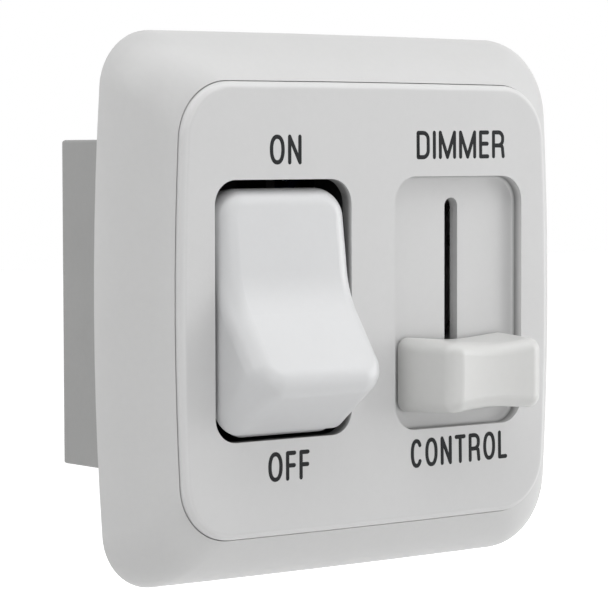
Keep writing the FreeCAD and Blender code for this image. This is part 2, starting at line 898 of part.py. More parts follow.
def circuit_board():
    board = centred(0, 0, board_half_w, board_half_h, board_front, board_back)
    holes = [rod(x, z, pin_r + hole_gap, board_front, board_back) for x, z in pin_places()]
    for x, z in corners(housing_inner_w - post_width / 2, housing_inner_h - post_width / 2):
        holes.append(rod(x, z, board_screw_r + hole_gap, board_front, board_back))
    for z in (0, -contact_offset):
        holes.append(
            centred(
                switch_x,
                z,
                terminal_width / 2 + hole_gap,
                terminal_thick / 2 + hole_gap,
                board_front,
                board_back,
            )
        )
    holes.append(rod(transistor_x, sink_screw_z, sink_screw_r + hole_gap, board_front, board_back))
    for x, z in lead_places():
        holes.append(rod(x, z, lead_w / math.sqrt(2) + hole_gap, board_front, board_back))
    return board.cut(holes)


def board_screws():
    screws = []
    for x, z in corners(housing_inner_w - post_width / 2, housing_inner_h - post_width / 2):
        shank = rod(x, z, board_screw_r, board_front, board_front + board_screw_length)
        head = rod(x, z, board_screw_head_r, board_front - board_screw_head, board_front)
        screw = joined([shank, head])
        screws.append(cross_slot(screw, x, z, board_front - board_screw_head, board_screw_head_r))
    return Part.makeCompound(screws)


def transistor_tab():
    y1 = board_front - sink_thick
    z0 = chip_bottom_z
    tab = block(
        transistor_x - transistor_w / 2,
        transistor_x + transistor_w / 2,
        y1 - tab_thick,
        y1,
        z0,
        z0 + chip_body_h + tab_length,
    )
    return tab.cut(rod(transistor_x, sink_screw_z, sink_screw_r + hole_gap, y1 - tab_thick, y1))


def transistor_body():
    y1 = board_front - sink_thick - tab_thick
    z0 = chip_bottom_z
    return block(
        transistor_x - transistor_w / 2,
        transistor_x + transistor_w / 2,
        y1 - chip_body_thick,
        y1,
        z0,
        z0 + chip_body_h,
    )


def transistor_leads():
    y = board_front - sink_thick - tab_thick - chip_body_thick / 2
    z0 = chip_bottom_z
    leads = []
    for step in (-1, 0, 1):
        x = transistor_x + step * lead_pitch
        out = centred(x, z0 - lead_drop / 2, lead_w / 2, lead_drop / 2, y - lead_w / 2, y + lead_w / 2)
        down = centred(x, z0 - lead_drop, lead_w / 2, lead_w / 2, y - lead_w / 2, tail_y)
        leads.append(joined([out, down]))
    return Part.makeCompound(leads)


def heat_sink():
    y1 = board_front
    z0 = chip_bottom_z - lead_drop + sink_margin
    z1 = chip_bottom_z + chip_body_h + tab_length + sink_margin
    plate = block(transistor_x - sink_w / 2, transistor_x + sink_w / 2, y1 - sink_thick, y1, z0, z1)
    return plate.cut(rod(transistor_x, sink_screw_z, sink_screw_r + hole_gap, y1 - sink_thick, y1))


def sink_screw():
    y = board_front - sink_thick - tab_thick
    z = sink_screw_z
    shank = rod(transistor_x, z, sink_screw_r, y, board_back + nut_thick + 0.4)
    head = rod(transistor_x, z, sink_screw_head_r, y - sink_screw_head, y)
    screw = joined([shank, head])
    return cross_slot(screw, transistor_x, z, y - sink_screw_head, sink_screw_head_r)


def sink_nut():
    z = sink_screw_z
    r = nut_flats / math.sqrt(3)
    points = []
    for corner in range(7):
        angle = math.radians(60 * corner)
        points.append(vec(transistor_x + r * math.cos(angle), board_back, z + r * math.sin(angle)))
    nut = Part.Face(Part.makePolygon(points)).extrude(vec(0, nut_thick, 0))
    return nut.cut(rod(transistor_x, z, sink_screw_r, board_back, board_back + nut_thick))


def capacitor_can():
    can = rod(can_x, can_z, can_r, board_front - can_height, board_front)
    edges = [edge for edge in can.Edges if edge.BoundBox.YMax < board_front - can_height + 0.01]
    return can.makeFillet(0.4, edges)


def timer_chip():
    y1 = board_front - timer_standoff
    return centred(timer_x, timer_z, timer_w / 2, timer_length / 2, y1 - timer_thick, y1)


def timer_pin_places():
    places = []
    for row in range(4):
        z = timer_z + (row - 1.5) * lead_pitch
        for side in (-1, 1):
            places.append((timer_x + side * (timer_w / 2 + lead_w / 2), z))
    return places


def timer_pins():
    y0 = board_front - timer_standoff - timer_thick / 2
    pins = [
        centred(x, z, lead_w / 2, lead_w / 2, y0, tail_y) for x, z in timer_pin_places()
    ]
    return Part.makeCompound(pins)


def resistor_places():
    low = lower_row - board_half_h
    return [
        (timer_x, inner_row - board_half_h),
        (timer_x, low),
        (lower_resistor_x, low),
        (upper_resistor_x, can_z),
    ]


def axial_y(radius):
    return board_front - radius - axial_lift


def resistors():
    y = axial_y(resistor_r)
    half = resistor_length / 2
    return Part.makeCompound([rod_x(y, z, resistor_r, x - half, x + half) for x, z in resistor_places()])


def bridge_leads(x, z, y, body_half, span, along_x):
    pieces = []
    for side in (-1, 1):
        inner, outer = sorted((side * body_half, side * (span / 2 + lead_r)))
        if along_x:
            arm = block(x + inner, x + outer, y - lead_r, y + lead_r, z - lead_r, z + lead_r)
            leg = centred(x + side * span / 2, z, lead_r, lead_r, y, tail_y)
        else:
            arm = block(x - lead_r, x + lead_r, y - lead_r, y + lead_r, z + inner, z + outer)
            leg = centred(x, z + side * span / 2, lead_r, lead_r, y, tail_y)
        pieces.append(joined([arm, leg]))
    return pieces


def resistor_leads():
    leads = []
    for x, z in resistor_places():
        y = axial_y(resistor_r)
        leads += bridge_leads(x, z, y, resistor_length / 2, resistor_lead_span, True)
    return Part.makeCompound(leads)


def disc_places():
    upper = (upper_disc_x, board_half_h - upper_disc_row)
    lower = (lower_disc_x, lower_disc_row - board_half_h)
    return [upper, lower]


def ceramic_capacitors():
    discs = [
        rod_z(x, disc_y, disc_r, z - disc_thick / 2, z + disc_thick / 2) for x, z in disc_places()
    ]
    return Part.makeCompound(discs)


# Each lead starts on the disc's edge and runs straight back
def ceramic_leads():
    leads = []
    for x, z in disc_places():
        disc = rod_z(x, disc_y, disc_r, z - disc_thick / 2, z + disc_thick / 2)
        for side in (-1, 1):
            lead = centred(x + side * disc_lead_pitch / 2, z, lead_r, lead_r, disc_y, tail_y)
            leads.append(lead.cut(disc))
    return Part.makeCompound(leads)


def diode():
    return rod_z(diode_x, axial_y(diode_r), diode_r, -diode_length / 2, diode_length / 2)


def diode_leads():
    y = axial_y(diode_r)
    return Part.makeCompound(bridge_leads(diode_x, 0, y, diode_length / 2, diode_lead_span, False))


# Where the round and square leads of the small parts pass through the board
def lead_places():
    places = list(timer_pin_places())
    for step in (-1, 0, 1):
        places.append((transistor_x + step * lead_pitch, chip_bottom_z - lead_drop))
    for x, z in resistor_places():
        places += [(x + side * resistor_lead_span / 2, z) for side in (-1, 1)]
    for x, z in disc_places():
        places += [(x + side * disc_lead_pitch / 2, z) for side in (-1, 1)]
    places += [(diode_x, side * diode_lead_span / 2) for side in (-1, 1)]
    return places


pieces = {
    "trim_bezel": trim_bezel,
    "face_panel": face_panel,
    "rocker": lambda: at_rest(rocker_level()),
    "plunger": plunger,
    "plunger_spring": plunger_spring,
    "switch_case": switch_case,
    "contact_arm": contact_arm,
    "moving_contact": moving_contact,
    "middle_terminal": middle_terminal,
    "fixed_contact": fixed_contact,
    "load_terminal": load_terminal,
    "rear_housing": rear_housing,
    "housing_screws": housing_screws,
    "wire_grommet": wire_grommet,
    "slider_knob": slider_knob,
    "wiper_carriage": wiper_carriage,
    "wiper_brush": wiper_brush,
    "pot_frame": pot_frame,
    "pot_screws": pot_screws,
    "pot_base": pot_base,
    "resistive_tracks": resistive_tracks,
    "pot_terminals": pot_terminals,
    "circuit_board": circuit_board,
    "board_screws": board_screws,
    "transistor_body": transistor_body,
    "transistor_tab": transistor_tab,
    "transistor_leads": transistor_leads,
    "heat_sink": heat_sink,
    "sink_screw": sink_screw,
    "sink_nut": sink_nut,
    "capacitor_can": capacitor_can,
    "timer_chip": timer_chip,
    "timer_pins": timer_pins,
    "resistors": resistors,
    "resistor_leads": resistor_leads,
    "ceramic_capacitors": ceramic_capacitors,
    "ceramic_leads": ceramic_leads,
    "diode": diode,
    "diode_leads": diode_leads,
}

for name, make in pieces.items():
    shape = make()
    save(name, shape)
    print(name, "solids", len(shape.Solids), "volume", round(shape.Volume, 2), "valid", shape.isValid())
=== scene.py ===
import bpy
import math
from mathutils import Matrix, Vector


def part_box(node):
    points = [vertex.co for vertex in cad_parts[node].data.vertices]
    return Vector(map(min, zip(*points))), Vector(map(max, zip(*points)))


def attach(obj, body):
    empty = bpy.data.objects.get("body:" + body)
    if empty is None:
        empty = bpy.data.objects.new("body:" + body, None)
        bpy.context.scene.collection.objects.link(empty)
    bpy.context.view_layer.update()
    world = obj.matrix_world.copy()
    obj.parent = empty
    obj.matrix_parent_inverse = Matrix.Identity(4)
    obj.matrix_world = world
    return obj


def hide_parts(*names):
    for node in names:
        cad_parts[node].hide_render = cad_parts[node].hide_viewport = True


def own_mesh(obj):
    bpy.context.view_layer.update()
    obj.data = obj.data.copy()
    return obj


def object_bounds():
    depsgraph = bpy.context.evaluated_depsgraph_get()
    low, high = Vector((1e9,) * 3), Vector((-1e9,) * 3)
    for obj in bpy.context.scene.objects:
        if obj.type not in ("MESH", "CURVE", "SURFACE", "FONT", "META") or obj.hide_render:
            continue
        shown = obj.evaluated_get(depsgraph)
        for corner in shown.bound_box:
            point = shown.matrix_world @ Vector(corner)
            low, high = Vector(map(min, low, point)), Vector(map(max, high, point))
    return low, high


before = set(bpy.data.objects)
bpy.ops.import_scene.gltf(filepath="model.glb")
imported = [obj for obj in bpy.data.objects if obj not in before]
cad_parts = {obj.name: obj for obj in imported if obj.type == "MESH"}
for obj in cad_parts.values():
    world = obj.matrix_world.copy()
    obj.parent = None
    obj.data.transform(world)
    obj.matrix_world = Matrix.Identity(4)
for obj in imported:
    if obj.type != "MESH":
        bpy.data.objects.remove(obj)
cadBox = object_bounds()
mm = 0.001
print("frame loaded,", len(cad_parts), "nodes")


# camera, solved from the outline of the plate and its openings in the photograph
cameraSetup = {
    "azimuth": -38.35,
    "elevation": 3.13,
    "roll": -0.14,
    "lens": 164.68,
    "distance": 307.47 * mm,
    "lookAt": (-10.07 * mm, -8.75 * mm, 0.52 * mm),
    "clipStart": 10 * mm,
}

# soft boxes round the plate, strongest from above and from the right
lightSetup = {
    "top": {"at": (-0.05, -0.14, 0.55), "size": 0.50, "watts": 1.62},
    "topRight": {"at": (0.40, -0.30, 0.45), "size": 0.40, "watts": 0.80},
    "right": {"at": (0.60, -0.30, 0.05), "size": 0.40, "watts": 1.84},
    "leftTop": {"at": (-0.50, -0.10, 0.45), "size": 0.40, "watts": 1.00},
    "low": {"at": (-0.10, -0.48, 0.02), "size": 0.30, "watts": 0.42},
    "backLeft": {"at": (-0.45, 0.40, 0.10), "size": 0.40, "watts": 0.60},
}

roomSetup = {
    "roomLight": 0.215,
    "floorGap": 45 * mm,
    "floorHalf": 1.6,
    "floorColour": (0.80, 0.80, 0.80),
    "floorRough": 0.9,
    "floorLift": 0.80,
}


def clearSelection():
    bpy.ops.object.select_all(action="DESELECT")
    bpy.context.view_layer.objects.active = None


def addCamera():
    azimuth = math.radians(cameraSetup["azimuth"])
    elevation = math.radians(cameraSetup["elevation"])
    roll = math.radians(cameraSetup["roll"])
    flat = math.cos(elevation)
    back = Vector((math.sin(azimuth) * flat, -math.cos(azimuth) * flat, math.sin(elevation)))
    level = Vector((math.cos(azimuth), math.sin(azimuth), 0))
    above = back.cross(level)
    right = level * math.cos(roll) + above * math.sin(roll)
    up = above * math.cos(roll) - level * math.sin(roll)
    clearSelection()
    place = Vector(cameraSetup["lookAt"]) + back * cameraSetup["distance"]
    bpy.ops.object.camera_add(location=place)
    camera = bpy.context.active_object
    camera.name = "plateCamera"
    camera.data.lens = cameraSetup["lens"]
    camera.data.sensor_width = 36
    camera.data.clip_start = cameraSetup["clipStart"]
    camera.rotation_euler = Matrix((right, up, back)).transposed().to_euler()
    bpy.context.scene.camera = camera


def addLights():
    for name, light in lightSetup.items():
        place = Vector(light["at"])
        clearSelection()
        turn = (-place).to_track_quat("-Z", "Y").to_euler()
        bpy.ops.object.light_add(type="AREA", location=place, rotation=turn)
        lamp = bpy.context.active_object
        lamp.name = name + "Softbox"
        lamp.data.shape = "SQUARE"
        lamp.data.size = light["size"]
        lamp.data.energy = light["watts"]


# 1 for rays that show the background itself: camera, mirror and clear glass rays
def seenRays(nodes, links):
    path = nodes.new("ShaderNodeLightPath")
    first = nodes.new("ShaderNodeMath")
    first.operation = "MAXIMUM"
    links.new(path.outputs["Is Camera Ray"], first.inputs[0])
    links.new(path.outputs["Is Glossy Ray"], first.inputs[1])
    second = nodes.new("ShaderNodeMath")
    second.operation = "MAXIMUM"
    links.new(first.outputs[0], second.inputs[0])
    links.new(path.outputs["Is Transmission Ray"], second.inputs[1])
    return second.outputs[0]


def addRoom():
    world = bpy.data.worlds.new("paleRoom")
    bpy.context.scene.world = world
    world.use_nodes = True
    nodes, links = world.node_tree.nodes, world.node_tree.links
    background = nodes["Background"]
    background.inputs["Color"].default_value = (1, 1, 1, 1)
    strength = nodes.new("ShaderNodeMapRange")
    strength.inputs["To Min"].default_value = roomSetup["roomLight"]
    strength.inputs["To Max"].default_value = 1.0
    links.new(seenRays(nodes, links), strength.inputs["Value"])
    links.new(strength.outputs["Result"], background.inputs["Strength"])

    clearSelection()
    level = cadBox[0][2] - roomSetup["floorGap"]
    bpy.ops.mesh.primitive_plane_add(size=2 * roomSetup["floorHalf"], location=(0, 0, level))
    floor = bpy.context.active_object
    floor.name = "studioFloor"
    material = bpy.data.materials.new("paleFloor")
    material.use_nodes = True
    nodes, links = material.node_tree.nodes, material.node_tree.links
    shader = nodes["Principled BSDF"]
    shader.inputs["Base Color"].default_value = (*roomSetup["floorColour"], 1)
    shader.inputs["Roughness"].default_value = roomSetup["floorRough"]
    shader.inputs["Emission Color"].default_value = (1, 1, 1, 1)
    lift = nodes.new("ShaderNodeMath")
    lift.operation = "MULTIPLY"
    lift.inputs[1].default_value = roomSetup["floorLift"]
    links.new(seenRays(nodes, links), lift.inputs[0])
    links.new(lift.outputs[0], shader.inputs["Emission Strength"])
    floor.data.materials.append(material)


# node groups shared by the finishes


def startGroup(name, inputs, outputs):
    group = bpy.data.node_groups.new(name, "ShaderNodeTree")
    for label, value in inputs.items():
        kind = "NodeSocketColor" if isinstance(value, tuple) else "NodeSocketFloat"
        socket = group.interface.new_socket(name=label, in_out="INPUT", socket_type=kind)
        socket.default_value = (*value, 1) if isinstance(value, tuple) else value
    for label, kind in outputs.items():
        group.interface.new_socket(name=label, in_out="OUTPUT", socket_type=kind)
    return group, group.nodes.new("NodeGroupInput"), group.nodes.new("NodeGroupOutput")


# a number is set on the socket, and another node's output is linked to it
def feed(group, value, socket):
    if isinstance(value, (int, float)):
        socket.default_value = value
    else:
        group.links.new(value, socket)


def noiseField(group, position, scale, detail=3.0, rough=0.5):
    noise = group.nodes.new("ShaderNodeTexNoise")
    noise.inputs["Detail"].default_value = detail
    noise.inputs["Roughness"].default_value = rough
    group.links.new(position, noise.inputs["Vector"])
    feed(group, scale, noise.inputs["Scale"])
    return noise.outputs["Fac"]


def mathNode(group, operation, first, second=0):
    node = group.nodes.new("ShaderNodeMath")
    node.operation = operation
    feed(group, first, node.inputs[0])
    feed(group, second, node.inputs[1])
    return node.outputs[0]


def mixColours(group, factor, first, second):
    node = group.nodes.new("ShaderNodeMix")
    node.data_type = "RGBA"
    group.links.new(factor, node.inputs["Factor"])
    colourSockets = [socket for socket in node.inputs if socket.type == "RGBA"]
    for socket, value in zip(colourSockets, (first, second)):
        group.links.new(value, socket)
    return [socket for socket in node.outputs if socket.type == "RGBA"][0]


def spread(group, value, low, high):
    node = group.nodes.new("ShaderNodeMapRange")
    node.inputs["From Min"].default_value = low
    node.inputs["From Max"].default_value = high
    group.links.new(value, node.inputs["Value"])
    return node.outputs["Result"]


def weighted(group, first, firstShare, second, secondShare):
    first = mathNode(group, "MULTIPLY", first, firstShare)
    return mathNode(group, "ADD", first, mathNode(group, "MULTIPLY", second, secondShare))


# spark-etched mould skin: a fine grain, faint flow marks in the tone, and rubbed patches
def mouldedSkinGroup():
    inputs = {
        "Light": (0.62, 0.62, 0.62),
        "Dark": (0.58, 0.58, 0.58),
        "Grain": 5200.0,
        "Rough": 0.45,
        "Spread": 0.08,
    }
    outputs = {"Colour": "NodeSocketColor", "Roughness": "NodeSocketFloat", "Height": "NodeSocketFloat"}
    group, given, result = startGroup("mouldedSkin", inputs, outputs)
    place = group.nodes.new("ShaderNodeTexCoord").outputs["Object"]
    grain = noiseField(group, place, given.outputs["Grain"], detail=2.0)
    pits = group.nodes.new("ShaderNodeTexVoronoi")
    pits.feature = "SMOOTH_F1"
    group.links.new(place, pits.inputs["Vector"])
    group.links.new(mathNode(group, "MULTIPLY", given.outputs["Grain"], 0.7), pits.inputs["Scale"])
    flow = noiseField(group, place, 90.0, detail=4.0, rough=0.6)
    speck = noiseField(group, place, 1400.0, detail=2.0)
    tone = weighted(group, flow, 0.7, speck, 0.3)
    share = spread(group, tone, 0.35, 0.65)
    colour = mixColours(group, share, given.outputs["Dark"], given.outputs["Light"])
    rubbed = noiseField(group, place, 240.0, detail=5.0, rough=0.65)
    shift = mathNode(group, "MULTIPLY", mathNode(group, "SUBTRACT", rubbed, 0.5), given.outputs["Spread"])
    height = weighted(group, grain, 0.6, pits.outputs["Distance"], 0.5)
    group.links.new(colour, result.inputs["Colour"])
    group.links.new(mathNode(group, "ADD", given.outputs["Rough"], shift), result.inputs["Roughness"])
    group.links.new(height, result.inputs["Height"])
    return group


# painted shade and painted highlight on the panel: colour darkened all down the rocker opening's walls,
# and down the recess's walls to the crease at their foot, where shade falls; the round rim outside is
# painted a little paler, a painted highlight
paintedLightSetup = {
    "rocker": {"middle": -12.8 * mm, "halfWidth": 9.60 * mm, "halfHeight": 14.38 * mm},
    "recess": {"middle": 12.8 * mm, "halfWidth": 9.80 * mm, "halfHeight": 14.55 * mm},
    "wallFrom": 0.10 * mm,
    "wallTo": 0.70 * mm,
    "wallShade": 0.60,
    "creaseFrom": 0.30 * mm,
    "creaseAt": 1.20 * mm,
    "creaseTo": 1.49 * mm,
    "creaseShade": 0.62,
    "rimFrom": 0.004 * mm,
    "rimTo": 0.060 * mm,
    "rimEnd": 0.90 * mm,
    "rimPaintedHighlight": 0.11,
}


def insideOpening(group, axes, opening):
    across = mathNode(group, "SUBTRACT", axes.outputs["X"], opening["middle"])
    across = mathNode(group, "ABSOLUTE", across)
    up = mathNode(group, "ABSOLUTE", axes.outputs["Z"])
    nearX = mathNode(group, "LESS_THAN", across, opening["halfWidth"])
    nearZ = mathNode(group, "LESS_THAN", up, opening["halfHeight"])
    return mathNode(group, "MULTIPLY", nearX, nearZ)


# node group for the panel's painted shade and painted highlight
def paintedLightGroup():
    outputs = {"Colour": "NodeSocketColor"}
    group, given, result = startGroup("openingPaintedLight", {"Colour": (0.6, 0.6, 0.6)}, outputs)
    place = group.nodes.new("ShaderNodeTexCoord").outputs["Object"]
    axes = group.nodes.new("ShaderNodeSeparateXYZ")
    group.links.new(place, axes.inputs[0])
    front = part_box("face_panel")[0][1]
    depth = axes.outputs["Y"]
    # painted shade: colour darkened down the rocker opening's walls, where shade falls in the pocket
    wall = spread(group, depth, front + paintedLightSetup["wallFrom"], front + paintedLightSetup["wallTo"])
    inRocker = insideOpening(group, axes, paintedLightSetup["rocker"])
    inRecess = insideOpening(group, axes, paintedLightSetup["recess"])
    wall = mathNode(group, "MULTIPLY", wall, inRocker)
    # painted shade: colour darkened down the recess's walls, darkest at the crease at their foot
    rising = spread(group, depth, front + paintedLightSetup["creaseFrom"], front + paintedLightSetup["creaseAt"])
    falling = spread(group, depth, front + paintedLightSetup["creaseTo"], front + paintedLightSetup["creaseAt"])
    crease = mathNode(group, "MULTIPLY", mathNode(group, "MINIMUM", rising, falling), inRecess)
    paintedShade = weighted(group, wall, paintedLightSetup["wallShade"], crease, paintedLightSetup["creaseShade"])
    outside = mathNode(group, "LESS_THAN", mathNode(group, "ADD", inRocker, inRecess), 0.5)
    # painted highlight: the round rim of the raised panel, outside the openings, is painted paler
    rim = spread(group, depth, front + paintedLightSetup["rimFrom"], front + paintedLightSetup["rimTo"])
    before = mathNode(group, "LESS_THAN", depth, front + paintedLightSetup["rimEnd"])
    rim = mathNode(group, "MULTIPLY", rim, before)
    rim = mathNode(group, "MULTIPLY", rim, outside)
    lift = mathNode(group, "MULTIPLY", rim, paintedLightSetup["rimPaintedHighlight"])
    level = mathNode(group, "ADD", mathNode(group, "SUBTRACT", 1.0, paintedShade), lift)
    toned = group.nodes.new("ShaderNodeVectorMath")
    toned.operation = "SCALE"
    group.links.new(given.outputs["Colour"], toned.inputs[0])
    group.links.new(level, toned.inputs["Scale"])
    group.links.new(toned.outputs[0], result.inputs["Colour"])
    return group


# drawn or rolled metal: fine lines one way, cloudy plating, small dark specks
def workedMetalGroup():
    inputs = {
        "Light": (0.8, 0.8, 0.8),
        "Dark": (0.6, 0.6, 0.6),
        "LinesX": 300.0,
        "LinesY": 300.0,
        "LinesZ": 9000.0,
        "Rough": 0.3,
    }
    outputs = {"Colour": "NodeSocketColor", "Roughness": "NodeSocketFloat", "Height": "NodeSocketFloat"}
    group, given, result = startGroup("workedMetal", inputs, outputs)
    place = group.nodes.new("ShaderNodeTexCoord").outputs["Object"]
    joint = group.nodes.new("ShaderNodeCombineXYZ")
    for label, axis in (("LinesX", "X"), ("LinesY", "Y"), ("LinesZ", "Z")):
        group.links.new(given.outputs[label], joint.inputs[axis])
    stretch = group.nodes.new("ShaderNodeVectorMath")
    stretch.operation = "MULTIPLY"
    group.links.new(place, stretch.inputs[0])
    group.links.new(joint.outputs[0], stretch.inputs[1])
    lines = noiseField(group, stretch.outputs[0], 1.0, rough=0.6)
    cloud = noiseField(group, place, 500.0, detail=4.0, rough=0.6)
    tone = weighted(group, lines, 0.45, cloud, 0.55)
    share = spread(group, tone, 0.32, 0.62)
    colour = mixColours(group, share, given.outputs["Dark"], given.outputs["Light"])
    shift = mathNode(group, "MULTIPLY", mathNode(group, "SUBTRACT", cloud, 0.5), 0.35)
    group.links.new(colour, result.inputs["Colour"])
    group.links.new(mathNode(group, "ADD", given.outputs["Rough"], shift), result.inputs["Roughness"])
    group.links.new(lines, result.inputs["Height"])
    return group


# colour, the share it varies by, roughness, shine, grains to the metre, depth of the grain in mm
plasticSkins = {
    "trimPlastic": ((0.610, 0.610, 0.608), 0.016, 0.44, 0.5, 5200, 0.010),
    "panelPlastic": ((0.610, 0.610, 0.610), 0.012, 0.46, 0.5, 5200, 0.010),
    "rockerPlastic": ((0.640, 0.645, 0.652), 0.012, 0.34, 0.5, 6000, 0.006),
    "knobPlastic": ((0.626, 0.627, 0.616), 0.014, 0.34, 0.5, 6000, 0.006),
    "housingPlastic": ((0.335, 0.335, 0.331), 0.030, 0.52, 0.5, 3800, 0.018),
    "acetal": ((0.80, 0.78, 0.72), 0.02, 0.32, 0.5, 6000, 0.004),
    "casePlastic": ((0.018, 0.018, 0.019), 0.20, 0.42, 0.5, 4200, 0.012),
    "carriagePlastic": ((0.022, 0.022, 0.023), 0.20, 0.38, 0.5, 4200, 0.010),
    "chipEpoxy": ((0.012, 0.012, 0.013), 0.25, 0.50, 0.5, 7000, 0.014),
    "grommetRubber": ((0.014, 0.014, 0.014), 0.30, 0.62, 0.35, 2600, 0.016),
    "trackCarbon": ((0.010, 0.010, 0.010), 0.40, 0.55, 0.35, 9000, 0.006),
    "baseLaminate": ((0.050, 0.032, 0.022), 0.18, 0.48, 0.4, 2400, 0.012),
    "boardLaminate": ((0.012, 0.105, 0.040), 0.16, 0.34, 0.5, 2400, 0.006),
    "canSleeve": ((0.008, 0.018, 0.075), 0.15, 0.26, 0.5, 3000, 0.003),
    "resistorCoat": ((0.50, 0.36, 0.19), 0.08, 0.30, 0.5, 3000, 0.006),
    "ceramicCoat": ((0.55, 0.24, 0.045), 0.10, 0.30, 0.5, 2600, 0.008),
    "legendInk": ((0.010, 0.011, 0.012), 0.25, 0.68, 0.2, 5200, 0.004),
    "sleeveStripe": ((0.42, 0.43, 0.45), 0.08, 0.30, 0.5, 3000, 0.003),
    "bandBrown": ((0.11, 0.045, 0.020), 0.15, 0.32, 0.5, 3000, 0.004),
    "bandBlack": ((0.012, 0.012, 0.012), 0.15, 0.32, 0.5, 3000, 0.004),
    "bandOrange": ((0.62, 0.17, 0.025), 0.12, 0.32, 0.5, 3000, 0.004),
    "bandGold": ((0.52, 0.36, 0.10), 0.12, 0.26, 0.5, 3000, 0.004),
}

# light and dark colour, roughness, lines to the metre along x, y and z
metalSkins = {
    "zincPlate": ((0.50, 0.52, 0.54), (0.34, 0.36, 0.39), 0.34, (9000, 300, 300)),
    "tinnedSheet": ((0.52, 0.52, 0.52), (0.37, 0.37, 0.37), 0.30, (6000, 900, 300)),
    "tinnedWire": ((0.56, 0.56, 0.56), (0.40, 0.40, 0.41), 0.28, (4000, 300, 4000)),
    "springWire": ((0.46, 0.47, 0.49), (0.28, 0.29, 0.31), 0.26, (3000, 3000, 3000)),
    "contactSilver": ((0.70, 0.69, 0.66), (0.50, 0.48, 0.45), 0.20, (2500, 2500, 2500)),
    "contactCopper": ((0.76, 0.40, 0.22), (0.55, 0.26, 0.13), 0.30, (7000, 400, 400)),
    "terminalBrass": ((0.78, 0.60, 0.28), (0.58, 0.42, 0.17), 0.30, (7000, 400, 400)),
    "brushBronze": ((0.72, 0.48, 0.22), (0.52, 0.32, 0.13), 0.28, (7000, 400, 400)),
    "sinkAluminium": ((0.55, 0.56, 0.57), (0.40, 0.41, 0.42), 0.38, (500, 500, 7000)),
}


# share of each bump that shows, and the depth of a metal's lines
reliefSetup = {"plastic": 0.5, "metal": 0.3, "metalDepth": 0.004 * mm}


def startMaterial(name, groupTree):
    material = bpy.data.materials.new(name)
    material.use_nodes = True
    tree = material.node_tree
    shader = tree.nodes["Principled BSDF"]
    effect = tree.nodes.new("ShaderNodeGroup")
    effect.node_tree = groupTree
    bump = tree.nodes.new("ShaderNodeBump")
    tree.links.new(effect.outputs["Colour"], shader.inputs["Base Color"])
    tree.links.new(effect.outputs["Roughness"], shader.inputs["Roughness"])
    tree.links.new(effect.outputs["Height"], bump.inputs["Height"])
    tree.links.new(bump.outputs["Normal"], shader.inputs["Normal"])
    return material, shader, effect, bump


def makePlastic(name, skin, groupTree):
    colour, vary, rough, shine, grain, depth = skin
    material, shader, effect, bump = startMaterial(name, groupTree)
    effect.inputs["Light"].default_value = (*[part * (1 + vary) for part in colour], 1)
    effect.inputs["Dark"].default_value = (*[part * (1 - vary) for part in colour], 1)
    effect.inputs["Grain"].default_value = grain
    effect.inputs["Rough"].default_value = rough
    shader.inputs["Specular IOR Level"].default_value = shine
    bump.inputs["Strength"].default_value = reliefSetup["plastic"]
    bump.inputs["Distance"].default_value = depth * mm
    return material


def makeMetal(name, skin, groupTree):
    light, dark, rough, lines = skin
    material, shader, effect, bump = startMaterial(name, groupTree)
    effect.inputs["Light"].default_value = (*light, 1)
    effect.inputs["Dark"].default_value = (*dark, 1)
    for label, value in zip(("LinesX", "LinesY", "LinesZ"), lines):
        effect.inputs[label].default_value = value
    effect.inputs["Rough"].default_value = rough
    shader.inputs["Metallic"].default_value = 1.0
    bump.inputs["Strength"].default_value = reliefSetup["metal"]
    bump.inputs["Distance"].default_value = reliefSetup["metalDepth"]
    return material


def makeFinishes():
    moulded = mouldedSkinGroup()
    worked = workedMetalGroup()
    finishes = {name: makePlastic(name, skin, moulded) for name, skin in plasticSkins.items()}
    finishes.update({name: makeMetal(name, skin, worked) for name, skin in metalSkins.items()})
    tree = finishes["panelPlastic"].node_tree
    shader = tree.nodes["Principled BSDF"]
    # the panel's colour passes through painted shade and a painted highlight
    paintedLightNode = tree.nodes.new("ShaderNodeGroup")
    paintedLightNode.node_tree = paintedLightGroup()
    tree.links.new(shader.inputs["Base Color"].links[0].from_socket, paintedLightNode.inputs["Colour"])
    tree.links.new(paintedLightNode.outputs["Colour"], shader.inputs["Base Color"])
    return finishes


nodeFinishes = {
    "trimPlastic": ["trim_bezel"],
    "panelPlastic": ["face_panel"],
    "rockerPlastic": ["rocker"],
    "knobPlastic": ["slider_knob"],
    "housingPlastic": ["rear_housing"],
    "acetal": ["plunger"],
    "springWire": ["plunger_spring"],
    "casePlastic": ["switch_case"],
    "contactCopper": ["contact_arm"],
    "contactSilver": ["moving_contact", "fixed_contact"],
    "terminalBrass": ["middle_terminal", "load_terminal"],
    "grommetRubber": ["wire_grommet"],
    "zincPlate": ["housing_screws", "pot_screws", "board_screws", "sink_screw", "sink_nut"],
    "carriagePlastic": ["wiper_carriage"],
    "brushBronze": ["wiper_brush"],
    "tinnedSheet": ["pot_frame", "transistor_tab"],
    "tinnedWire": [
        "pot_terminals",
        "transistor_leads",
        "timer_pins",
        "resistor_leads",
        "ceramic_leads",
        "diode_leads",
    ],
    "baseLaminate": ["pot_base"],
    "trackCarbon": ["resistive_tracks"],
    "boardLaminate": ["circuit_board"],
    "chipEpoxy": ["transistor_body", "timer_chip", "diode"],
    "sinkAluminium": ["heat_sink"],
    "canSleeve": ["capacitor_can"],
    "resistorCoat": ["resistors"],
    "ceramicCoat": ["ceramic_capacitors"],
}


def dressNodes(finishes):
    for finish, names in nodeFinishes.items():
        for name in names:
            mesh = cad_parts[name].data
            mesh.materials.clear()
            mesh.materials.append(finishes[finish])


